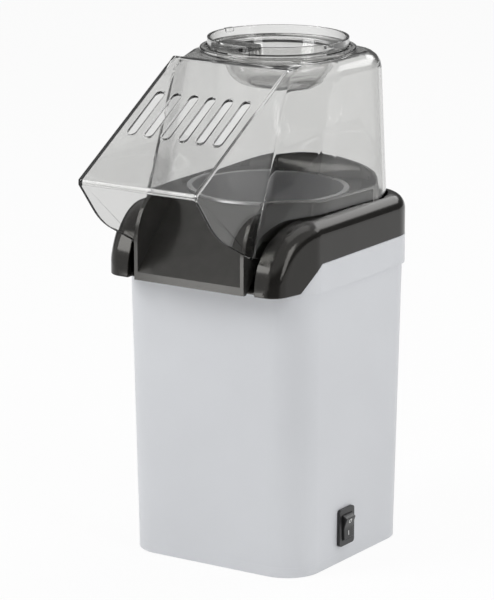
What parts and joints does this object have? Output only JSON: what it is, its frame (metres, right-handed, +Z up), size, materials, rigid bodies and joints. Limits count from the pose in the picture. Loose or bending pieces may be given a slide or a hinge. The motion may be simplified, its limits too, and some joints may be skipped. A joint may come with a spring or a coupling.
{
  "type": "hot-air popcorn maker",
  "caption": "Hot-air popcorn maker with a tapered white housing, a black collar and chute, and a smoked clear lift-off hood with a slotted spout and a measuring cup.",
  "frame": {"origin": "on the surface that the base stands on, under the axis of the popping chamber", "axes": "+Z up, -Y towards the spout, +X towards the side with the switch"},
  "size_m": [0.123, 0.186, 0.2843],
  "materials": {
    "white_plastic": "satin",
    "black_plastic": "gloss",
    "smoked_clear": "gloss, see-through",
    "chamber_aluminium": "satin",
    "duct_steel": "satin",
    "mica": "matte",
    "heater_wire": "satin",
    "steel": "satin",
    "heat_plastic": "satin",
    "switch_plastic": "satin",
    "terminal_brass": "satin",
    "thermostat_steel": "satin",
    "board": "matte",
    "diode": "satin",
    "rubber": "matte"
  },
  "bodies": {
    "body": {"housing": "white_plastic", "base_plate": "white_plastic", "collar": "black_plastic", "chute": "black_plastic", "popping_chamber": "chamber_aluminium", "air_duct": "duct_steel", "heater_former": "mica", "heater_coil": "heater_wire", "base_screws": "steel", "blower_screws": "steel", "motor_screws": "steel", "motor_can": "steel", "blower_housing": "heat_plastic", "motor_end_cap": "heat_plastic", "switch_body": "switch_plastic", "switch_terminals": "terminal_brass", "thermostat": "thermostat_steel", "thermal_fuse": "thermostat_steel", "rectifier_board": "board", "rectifier_diodes": "diode", "rubber_feet": "rubber", "cord_gland": "rubber"},
    "hood": {"hood": "smoked_clear"},
    "cup": {"measuring_cup": "smoked_clear"},
    "rotor": {"motor_shaft": "steel", "fan": "heat_plastic"},
    "rocker": {"switch_rocker": "switch_plastic"}
  },
  "joints": [
    {"name": "hood_lift", "type": "slide", "parent": "body", "child": "hood", "axis": [0, 0, 1], "range_m": [0, 0.06]},
    {"name": "cup_lift", "type": "slide", "parent": "hood", "child": "cup", "axis": [0, 0, 1], "range_m": [0, 0.05]},
    {"name": "fan_spin", "type": "hinge", "parent": "body", "child": "rotor", "pos_m": [0, 0, 0.05], "axis": [0, 0, 1], "continuous": true},
    {"name": "rocker_tilt", "type": "hinge", "parent": "body", "child": "rocker", "pos_m": [0.05681, -0.0105, 0.0202], "axis": [0, 1, 0], "range_deg": [-16, 0]}
  ]
}
